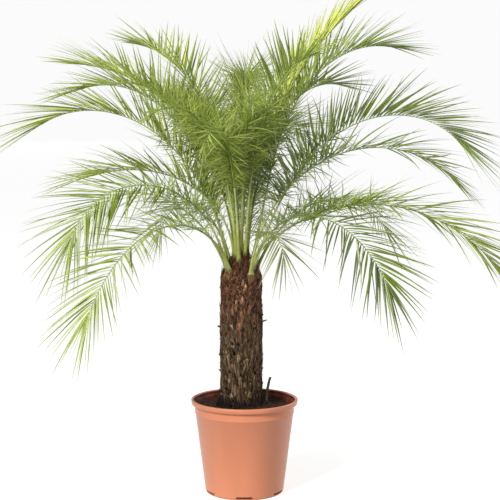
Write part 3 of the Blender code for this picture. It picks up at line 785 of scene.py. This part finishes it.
def add_wisps(bundles, frond, path, look, dice):
    """Thin leaflets in all planes, between the spines and the long leaflets."""
    start = frond.length * look.bare
    end = start + frond.length * look.wispy
    count = round((end - start) * look.wisps)
    for index in range(count):
        share = (index + dice.random()) / count
        place = blend(start, end, share)
        here = frame_at(frond, path, place)
        hand = dice.choice((-1, 1))
        vee, swing = draw(dice, WISP_ANGLES)
        heading = leaf_heading(here, hand, vee, swing * frond.spread * look.swing)
        length = blend(*WISP_LENGTH, share) * dice.uniform(0.6, 1.2)
        root = here.point + here.side * hand * rib_size(frond, place / frond.length)[0] * LEAF_INSET
        bow, roll, twist = [dice.gauss(0, reach) for reach in WISP_TURNS]
        droop, fold = draw(dice, WISP_BENDS)
        blade = Blade(length, WISP_WIDTH, droop, bow, roll, twist, fold)
        add_blade(bundles[deal_tint(look.tints, dice)], root, heading, here.along, blade, SHORT_STATIONS)


def add_spines(bundle, frond, path, look, dice):
    """Stiff short spines on the upper stem."""
    start = frond.length * look.bare * SPINE_START
    end = frond.length * look.bare
    count = max(3, round((end - start) / SPINE_SPACING))
    for index in range(count):
        share = (index + 0.5) / count
        for hand in (-1, 1):
            place = blend(start, end, share) + dice.uniform(-0.003, 0.003)
            here = frame_at(frond, path, place)
            heading = leaf_heading(here, hand, *draw(dice, SPINE_ANGLES))
            length = blend(*SPINE_LENGTH, share) * dice.uniform(0.75, 1.2)
            root = here.point + here.side * hand * rib_size(frond, place / frond.length)[0] * 0.8
            points = [root + heading * length * step for step in (0.0, 0.35, 0.7, 1.0)]
            bundle.add(*strand(points, SPINE_RADIUS, (1.0, 0.875, 0.625, 0.125), 4))


def add_sheath(sheaths, bundle, frond, path):
    """Sheath of a stem, which clasps the trunk, and the stem's broad foot."""
    foot = frame_at(frond, path, 0.0)
    half, depth = rib_size(frond, 0.0)
    outward = direction(frond.heading, 0)
    corners = []
    for below, wider, deeper in SHEATH_SECTIONS:
        centre = foot.point.copy()
        centre.z -= below
        on_cone = max(0.0, min(1.0, (TRUNK_TOP - centre.z) / CONE_RISE))
        radius = TOP_RADIUS + CONE_DROP * on_cone + depth * deeper * 0.3
        pressed = min(1.0, below / 0.015)
        centre.x = blend(foot.point.x, TRUNK_X + outward.x * radius, pressed)
        centre.y = blend(foot.point.y, outward.y * radius, pressed)
        along = direction(frond.heading, blend(frond.rise, SHEATH_SLOPE, min(1.0, below / 0.020)))
        here = Frame(centre, along, foot.side, foot.side.cross(along))
        corners += rib_ring(here, half * wider, depth * max(0.3, deeper))
    sheaths.add(corners, loft_faces(len(SHEATH_SECTIONS), RIB_SIDES))
    corners = corners[-RIB_SIDES:]
    for index in range(1, FOOT_RINGS + 1):
        share = BARE_SHARE * FOOT_SHARE * index / FOOT_RINGS
        grown = [size * FOOT_GROWTH for size in rib_size(frond, share)]
        corners += rib_ring(frame_at(frond, path, share * frond.length), *grown)
    bundle.add(corners, loft_faces(FOOT_RINGS + 1, RIB_SIDES))


def make_fronds():
    """All the fronds, joined by kind, with their leaflets joined by tint."""
    nodes = sorted(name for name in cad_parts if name.startswith("frond_"))
    leaflets = {tint: Bundle() for tint in TINTS}
    parts = {name: Bundle() for name in STEM_PAINTS}
    sheaths = Bundle()
    for index, frond in enumerate(FRONDS):
        dice = random.Random(11 + index)
        look = frond_look(frond)
        path = rib_path(frond)
        add_rib(parts["frond_stems"], frond, path, 0.0, look.bare, STEM_RINGS)
        add_rib(parts["frond_ribs"], frond, path, look.bare, 1.0, RIB_RINGS)
        add_sheath(sheaths, parts["stem_feet"], frond, path)
        add_spines(parts["stem_spines"], frond, path, look, dice)
        for number, place in enumerate(frond_places(frond)):
            if place < look.bare * frond.length:
                continue
            tints = PLAIN if place < look.plain * frond.length else look.tints
            for hand in (-1, 1):
                tint = deal_tint(tints, dice)
                plane = PLANES[(number + (hand > 0)) % len(PLANES)]
                add_leaflet(leaflets, tint, frond, path, place, hand, look, plane, dice)
        add_leaflet(leaflets, list(look.tints)[0], frond, path, frond.length, 0, look, 0, dice)
        add_wisps(leaflets, frond, path, look, dice)
    for tint, bundle in leaflets.items():
        bundle.make(f"leaflets_{tint}", leaf_material(f"leaf_{tint}", TINTS[tint]), "frond", nodes)
    sheaths.make("stem_sheaths", bark_material("sheath_fibre"), "frond", nodes)
    for name, (green, display) in STEM_PAINTS.items():
        parts[name].make(name, leaf_material(green, display, 0.5), "frond", nodes)


def make_spears():
    """The youngest leaves, each of long pleats folded in the heart."""
    bundle = Bundle()
    dice = random.Random(5)
    for heading, lean, length in SPEARS:
        along = direction(heading, 90 - lean)
        foot = Vector((TRUNK_X, 0.0, TRUNK_TOP)) + direction(heading, 0) * SPEAR_OFFSET
        for pleat in range(PLEATS):
            turn = heading + pleat * PLEAT_TURN
            start = foot + direction(turn, 0) * 0.0022 + along * length * 0.02 * pleat
            lift = 90 - lean * 0.6 - dice.uniform(0, 1.5)
            reach = length * (1 - 0.07 * pleat)
            wide = direction(turn + 90, 0)
            blade = Blade(reach, PLEAT_WIDTH, 0.01, 0.0, dice.uniform(-20, 20), twist=25, fold=38)
            add_blade(bundle, start, direction(heading, lift), wide, blade)
    nodes = ("spear_1", "spear_2")
    bundle.make("heart_spears", leaf_material("young_leaf_green", YOUNG_PAINT), "young_leaf", nodes)


# Trunk

def on_trunk(radius, turn, height):
    """Point at a radius and an angle round the trunk's axis."""
    return TRUNK_X + radius * cos(turn), radius * sin(turn), height


def make_bark_pieces(name, bundles, barks):
    """One piece of the trunk for each bark that has a shape."""
    for kind, bundle in bundles.items():
        if bundle.points:
            bundle.make(f"{name}_{kind}", barks[kind], "bark", ("trunk",))


def trunk_core_radius(height):
    """Radius of the fibrous core that carries the leaf bases."""
    lump = LUMP_RELIEF * noise.noise(Vector((0.3, 0.7, height * LUMP_FINENESS)))
    if height > TRUNK_SHOULDER:
        share = min(1.0, (height - TRUNK_SHOULDER) / CONE_RISE)
        return blend(CORE_SHOULDER, TOP_RADIUS, share) + lump * (1 - share)
    return blend(CORE_RADIUS, CORE_SHOULDER, ((height - TRUNK_FOOT) / TAPER_HEIGHT) ** 3) + lump


def make_trunk_core(material):
    """Trunk under its leaf bases, with the relief of its fibres."""
    points = []
    for ring in range(CORE_RINGS + 1):
        height = blend(TRUNK_FOOT, TRUNK_TOP, ring / CORE_RINGS)
        for angle in turns(CORE_SIDES):
            radius = trunk_core_radius(height)
            for across, up, relief in CORE_RELIEF:
                place = Vector((cos(angle) * across, sin(angle) * across, height * up))
                radius += relief * noise.noise(place)
            points.append(on_trunk(radius, angle, height))
    bundle = Bundle()
    bundle.add(points, loft_faces(CORE_RINGS + 1, CORE_SIDES))
    bundle.make("trunk_core", material, "bark", ("trunk",))


def add_leaf_base(bundle, angle, height, size, dice):
    """Stub of a cut leaf: a tongue that clasps the trunk below and stands off it, ragged, above."""
    width, length, lift = size
    corners = []
    seed = dice.uniform(0, 100)
    lean = dice.gauss(0, 0.05)
    for row in range(BASE_ROWS + 1):
        up = row / BASE_ROWS
        wide = width * (1 - 0.42 * up**2)
        out = lift * up**1.8 - 0.001
        thick = blend(*BASE_THICKNESS, up)
        for back in (False, True):
            steps = range(BASE_COLUMNS - 2, 0, -1) if back else range(BASE_COLUMNS)
            for column in steps:
                across = 2 * column / (BASE_COLUMNS - 1) - 1
                ragged = noise.noise(Vector((across * 2.6 + seed, up * 3.0, 1.7)))
                z = height + length * up + ragged * (BASE_TORN if row == BASE_ROWS else BASE_UNEVEN)
                z -= BASE_TONGUE * length * up * across * across
                radius = trunk_core_radius(z) + out + BASE_CROWN * (1 - across * across + ragged)
                radius -= thick if back else 0.0
                corners.append(on_trunk(radius, angle + lean * up + across * wide / 2 / TRUNK_RADIUS, z))
    bundle.add(corners, loft_faces(BASE_ROWS + 1, 2 * BASE_COLUMNS - 2))


def bark_kind(height, dice):
    """Bark at a height: red-brown above, grey below, some of it worn light."""
    worn = dice.random() < WORN_SHARE
    if height + dice.gauss(0, 0.03) > RED_HEIGHT:
        return "tan" if worn else "red"
    return "pale" if worn else "grey"


def make_leaf_bases(barks):
    """Stubs of cut leaves, in the spiral they grew in."""
    bundles = {kind: Bundle() for kind in barks}
    dice = random.Random(21)
    for index in range(LEAF_BASES):
        height = blend(TRUNK_FOOT - 0.006, TRUNK_SHOULDER - 0.030, index / (LEAF_BASES - 1))
        height += dice.uniform(-0.004, 0.004)
        angle = radians(index * GOLDEN_TURN + dice.uniform(-7, 7))
        size = draw(dice, BASE_SIZES)
        add_leaf_base(bundles[bark_kind(height, dice)], angle, max(height, TRUNK_FOOT), size, dice)
    make_bark_pieces("leaf_bases", bundles, barks)


def make_spikes(material):
    """Broken stalks that stand out of the bark."""
    bundle = Bundle()
    dice = random.Random(27)
    for index in range(SPIKES):
        height = blend(TRUNK_FOOT + 0.010, TRUNK_SHOULDER - 0.030, (index + dice.random()) / SPIKES)
        turn = index * GOLDEN_TURN + dice.uniform(-20, 20)
        root = Vector(on_trunk(trunk_core_radius(height), radians(turn), height))
        heading = direction(turn + dice.uniform(-25, 25), dice.uniform(15, 70))
        length, thick = draw(dice, SPIKE_SIZES)
        points = [root + heading * length * share for share in (0.0, 0.5, 0.85, 1.0)]
        bundle.add(*strand(points, thick, (1.0, 1.0, 0.8, 0.4), 5))
    bundle.make("trunk_spikes", material, "bark", ("trunk",))


def make_fibres(barks):
    """Loose fibres that run up the trunk, more tangled towards its top."""
    bundles = {kind: Bundle() for kind in barks}
    dice = random.Random(33)
    for index in range(FIBRES):
        height = TRUNK_FOOT + (TRUNK_TOP - TRUNK_FOOT - 0.012) * dice.random() ** 0.8
        angle = dice.uniform(0, 2 * pi)
        length = dice.uniform(*FIBRE_LENGTH)
        tangle = min(1.0, max(0.0, (height - RED_HEIGHT) / (TRUNK_SHOULDER - RED_HEIGHT)))
        lean = dice.gauss(0, blend(*FIBRE_LEAN, tangle))
        stand = dice.uniform(*FIBRE_STAND)
        flare = max(0.0, dice.gauss(0, FIBRE_FLARE))
        points = []
        for share in (0.0, 0.25, 0.5, 0.75, 1.0):
            z = height + length * share
            radius = trunk_core_radius(min(z, TRUNK_TOP)) + stand + flare * share * share
            turn = angle + lean * share * length / 0.02 + 0.02 * sin(6 * share + index)
            points.append(on_trunk(radius, turn, z))
        thick = dice.uniform(*FIBRE_RADIUS)
        kind = "black" if dice.random() < BLACK_SHARE else bark_kind(height, dice)
        bundles[kind].add(*strand(points, thick, (1.0, 1.0, 0.9, 0.7, 0.3)))
    make_bark_pieces("trunk_fibres", bundles, barks)


def make_collar_fibres(barks):
    """Brown fibre of old sheaths, round the feet of the stems."""
    bundles = {kind: Bundle() for kind in barks}
    dice = random.Random(39)
    for _ in range(COLLAR_FIBRES):
        angle = dice.uniform(0, 2 * pi)
        height = TRUNK_SHOULDER + CONE_RISE * dice.uniform(-0.2, 0.9)
        length = dice.uniform(*COLLAR_LENGTH)
        radius = trunk_core_radius(height) + dice.uniform(0.0, 0.004)
        lift = dice.uniform(*COLLAR_LIFT)
        heading = direction(degrees(angle) + dice.uniform(-30, 30), lift)
        root = Vector(on_trunk(radius, angle, height))
        bow = direction(degrees(angle) + 90, 0) * dice.gauss(0, 0.12)
        steps = (0.0, 0.3, 0.6, 0.85, 1.0)
        points = [root + (heading * share + bow * share * share) * length for share in steps]
        thick = dice.uniform(*COLLAR_RADII)
        kind = "black" if dice.random() < 0.5 else "red"
        bundles[kind].add(*strand(points, thick, (1.0, 1.0, 0.8, 0.6, 0.2)))
    make_bark_pieces("collar_fibres", bundles, barks)


def make_foot_stub(material):
    """Dead leaf stalk beside the trunk, split and ragged at its top."""
    bundle = Bundle()
    corners = []
    for step in range(STALK_RINGS + 1):
        share = step / STALK_RINGS
        for angle in turns(STALK_SIDES):
            ragged = noise.noise(Vector((cos(angle) * 2, sin(angle) * 2, share * 9)))
            radius = STALK_RADIUS * blend(1.0, STALK_TAPER, share) * (1 + 0.25 * ragged)
            x = STALK_FOOT[0] + STALK_BEND * share * share + radius * cos(angle)
            z = SOIL_MOUND + STALK_HEIGHT * share + (STALK_TORN * ragged if step == STALK_RINGS else 0.0)
            corners.append((x, STALK_FOOT[1] + radius * sin(angle) * 0.8, z))
    bundle.add(corners, loft_faces(STALK_RINGS + 1, STALK_SIDES))
    bundle.make("dead_stalk", material, "bark", ("foot_stub",))


def make_trunk():
    """Trunk, red-brown above and grey-olive below."""
    barks = {kind: bark_material(f"bark_{kind}") for kind in ("red", "tan", "grey", "pale", "black")}
    # The core takes the near-black bark: dark fibre, and painted shade for the deep gaps between the leaf
    # bases and stems
    make_trunk_core(barks["black"])
    make_leaf_bases(barks)
    make_spikes(barks["black"])
    make_fibres(barks)
    make_collar_fibres(barks)
    make_foot_stub(bark_material("dead_stalk"))
    make_roots(barks["black"])


# Pot and soil

def arc(centre, radius, start, end, count):
    """Points on an arc in the profile plane, angles in degrees from +X."""
    angles = [radians(start + (end - start) * i / count) for i in range(count + 1)]
    return [(centre[0] + radius * cos(a), centre[1] + radius * sin(a)) for a in angles]


def outer_wall_radius(height):
    """Outer radius of the tapered wall below the collar."""
    top = POT_HEIGHT - COLLAR_HEIGHT
    return BASE_RADIUS + (COLLAR_RADIUS - COLLAR_STEP - BASE_RADIUS) * height / top


def inner_wall_radius(height):
    """Inner radius of the wall, which tapers evenly up to the lip's ramp."""
    return outer_wall_radius(height) - WALL


def pot_profile():
    """Profile from inside the floor up over the lip and down to the underside."""
    collar = POT_HEIGHT - COLLAR_HEIGHT
    lip = POT_HEIGHT - LIP_HEIGHT
    crown = POT_HEIGHT - LIP_ROUND
    corner = inner_wall_radius(CORNER)
    return [
        (0.0, FLOOR),
        (corner - FILLET, FLOOR),
        (corner, FLOOR + FILLET),
        (inner_wall_radius(lip), lip),
        (OPENING_RADIUS, lip + LIP_RAMP),
        *arc((OPENING_RADIUS + LIP_ROUND, crown), LIP_ROUND, 180, 90, 6),
        *arc((RIM_RADIUS - LIP_ROUND, crown), LIP_ROUND, 90, 0, 6),
        (RIM_RADIUS - LIP_TAPER, lip + 0.0006),
        (RIM_RADIUS - LIP_TAPER - 0.0006, lip),
        (COLLAR_RADIUS + 0.0010, lip - LIP_UNDERCUT),
        (COLLAR_RADIUS, lip - LIP_UNDERCUT - 0.001),
        (COLLAR_RADIUS, collar),
        (COLLAR_RADIUS - COLLAR_STEP, collar - COLLAR_STEP),
        (outer_wall_radius(2 * CORNER), 2 * CORNER),
        *arc((outer_wall_radius(CORNER) - CORNER, CORNER), CORNER, 0, -90, 6),
        (0.0, 0.0),
    ]


def cut_slots(pot):
    """Cut the drainage slots into the pot's foot, and apply its modifiers."""
    boxes = Bundle()
    length, width, height = [size / 2 for size in SLOT_SIZE]
    for index in range(SLOTS):
        heading = FRONT + 360 * index / SLOTS
        corners = []
        for z in (SLOT_HEIGHT - height, SLOT_HEIGHT + height):
            for x, y in ((length, -width), (length, width), (-length, width), (-length, -width)):
                corner = direction(heading, 0) * (BASE_RADIUS - CORNER + x) + direction(heading + 90, 0) * y
                corners.append((corner.x, corner.y, z))
        boxes.add(corners, loft_faces(2, 4))
    cutter = new_mesh("slot_cutters", boxes.points, [], boxes.faces)
    cut = pot.modifiers.new("Slots", "BOOLEAN")
    cut.object = cutter
    cut.solver = "EXACT"
    bpy.context.view_layer.update()
    shape = bpy.data.meshes.new_from_object(pot.evaluated_get(bpy.context.evaluated_depsgraph_get()))
    pot.modifiers.clear()
    pot.data = shape
    bpy.data.objects.remove(cutter)


def make_pot():
    """Moulded pot with its lip, collar and drainage slots, with painted shade inside."""
    profile = [(radius, 0.0, height) for radius, height in pot_profile()]
    edges = [(index, index + 1) for index in range(len(profile) - 1)]
    pot = new_mesh("pot_shell", profile, edges, [], pot_material(), inner_shade_material())
    screw = pot.modifiers.new("Screw", "SCREW")
    screw.steps = screw.render_steps = POT_STEPS
    screw.use_merge_vertices = True
    screw.merge_threshold = 0.00001
    cut_slots(pot)
    # Inward faces of the wall take the second material, the painted shade
    for face in pot.data.polygons:
        inwards = face.normal.x * face.center.x + face.normal.y * face.center.y < 0
        on_wall = SLOT_HEIGHT * 2 < face.center.z < POT_HEIGHT - LIP_ROUND
        face.material_index = int(inwards and on_wall)
    pot.data.shade_smooth()
    pot.data.set_sharp_from_angle(angle=radians(38))
    settle(pot, ("pot",))


def soil_height(x, y):
    """Height of the rough soil, mounded round the trunk's foot."""
    share = min(1.0, max(0.0, (hypot(x, y) - MOUND_START) / (MOUND_END - MOUND_START)))
    height = blend(SOIL_MOUND - 0.001, SOIL_LEVEL, share * share * (3 - 2 * share))
    for fineness, relief, layer in SOIL_RELIEF:
        height += relief * noise.noise(Vector((x * fineness, y * fineness, layer)))
    return height


def make_soil(material):
    """Soil: a rough disc with its body down the inside of the pot."""
    foot = FLOOR + GAP
    edge = inner_wall_radius(SOIL_LEVEL) - GAP
    corner = inner_wall_radius(CORNER) - GAP
    points = circle(corner - FILLET, foot, SOIL_SIDES) + circle(corner, foot + FILLET, SOIL_SIDES)
    for ring in range(SOIL_RINGS + 1):
        for x, y, z in circle(edge * (1 - ring / SOIL_RINGS) + 0.0004, SOIL_LEVEL - 0.002, SOIL_SIDES):
            points.append((x, y, soil_height(x, y) if ring else z))
    bundle = Bundle()
    bundle.add(points, loft_faces(SOIL_RINGS + 3, SOIL_SIDES))
    bundle.make("soil_bed", material, "soil", ("soil",))


def crumb_shape():
    """Corners and faces of the regular solid with twenty faces."""
    golden = (1 + 5**0.5) / 2
    flat = [(a, b, 0) for b in (golden, -golden) for a in (-1, 1)]
    corners = [Vector(point[-turn:] + point[:-turn]) for turn in range(3) for point in flat]
    faces = []
    for trio in combinations(range(len(corners)), 3):
        first, second, third = [corners[index] for index in trio]
        if max((second - first).length, (third - second).length, (first - third).length) < 2.1:
            outwards = (second - first).cross(third - first).dot(first) > 0
            faces.append(trio if outwards else trio[::-1])
    return [corner.normalized() for corner in corners], faces


def make_crumbs(material):
    """Lumps of soil and bark chips that lie on the bed."""
    bundle = Bundle()
    dice = random.Random(8)
    shape, faces = crumb_shape()
    edge = inner_wall_radius(SOIL_LEVEL) - 0.005
    for _ in range(CRUMBS):
        radius = edge * sqrt(dice.uniform(0.12, 1.0))
        angle = dice.uniform(0, 2 * pi)
        x, y = radius * cos(angle), radius * sin(angle)
        size = dice.uniform(*CRUMB_SIZE)
        squash = Vector(draw(dice, CRUMB_SQUASH))
        turn = dice.uniform(0, pi)
        points = []
        for corner in shape:
            grown = corner * size * dice.uniform(0.75, 1.2)
            a, b = grown.x * squash.x, grown.y * squash.y
            u, v = a * cos(turn) - b * sin(turn), a * sin(turn) + b * cos(turn)
            points.append((x + u, y + v, soil_height(x, y) + size * 0.25 + grown.z * squash.z))
        bundle.add(points, faces)
    bundle.make("soil_crumbs", material, "soil", smooth=False)


def make_roots(material):
    """Fibrous roots that run down the trunk's foot and out into the soil."""
    bundle = Bundle()
    dice = random.Random(14)
    for index in range(ROOT_STRANDS):
        angle = dice.uniform(0, 2 * pi)
        top, reach, sway = draw(dice, ROOT_RANGES)
        points = []
        for share in (0.0, 0.2, 0.4, 0.6, 0.8, 1.0):
            x, y, _ = on_trunk(TRUNK_RADIUS - 0.0015 + reach * share**1.5, angle + sway * share, 0.0)
            z = blend(top, soil_height(x, y) - 0.0008, share**0.8)
            points.append((x, y, z + 0.001 * sin(5 * share + index)))
        thick = dice.uniform(*ROOT_RADIUS)
        bundle.add(*strand(points, thick, (1.0, 1.0, 1.0, 0.9, 0.8, 0.5)))
    bundle.make("foot_roots", material, "bark", ("trunk",))


# Studio

def make_floor():
    """Wide pale floor that turns up into a low round wall far away."""
    profile = [(FLOOR_REACH, 0.0), (FLOOR_REACH + 1.0, 0.3), (FLOOR_REACH + 1.4, WALL_HEIGHT)]
    points = [point for radius, height in profile for point in circle(radius, height, FLOOR_SIDES)]
    faces = [tuple(range(FLOOR_SIDES))] + loft_faces(len(profile), FLOOR_SIDES)[:-2]
    floor = new_mesh("studio_floor", points, [], faces, floor_material())
    floor.visible_diffuse = False


def add_light(name, place, target, size, power):
    """Soft square white light that points at a target."""
    data = bpy.data.lights.new(name, "AREA")
    data.size = size
    data.energy = power
    light = new_object(name, data)
    light.location = place
    light.rotation_euler = (Vector(target) - Vector(place)).to_track_quat("-Z", "Y").to_euler()


def make_studio():
    """White surroundings, a soft key from the left front and a weak light from behind."""
    make_floor()
    world = bpy.data.worlds.new("studio_world")
    world.use_nodes = True
    set_inputs(world.node_tree.nodes["Background"], {"Color": WHITE, "Strength": WORLD_STRENGTH})
    bpy.context.scene.world = world
    add_light("key", *KEY)
    add_light("edge", *EDGE)
    bpy.context.scene.view_settings.view_transform = "Standard"


def make_camera():
    """Camera of the photograph."""
    data = bpy.data.cameras.new("camera")
    data.lens = CAMERA_LENS
    data.sensor_width = SENSOR
    camera = new_object("camera", data)
    camera.location = CAMERA_PLACE
    camera.rotation_euler = (radians(90 - CAMERA_PITCH), 0.0, 0.0)
    bpy.context.scene.camera = camera


def main():
    """Build the looks."""
    make_camera()
    make_studio()
    make_pot()
    make_soil(soil_material("potting_soil", SOIL_PAINTS))
    make_crumbs(soil_material("soil_crumb", CRUMB_PAINTS))
    make_trunk()
    make_fronds()
    make_spears()


main()
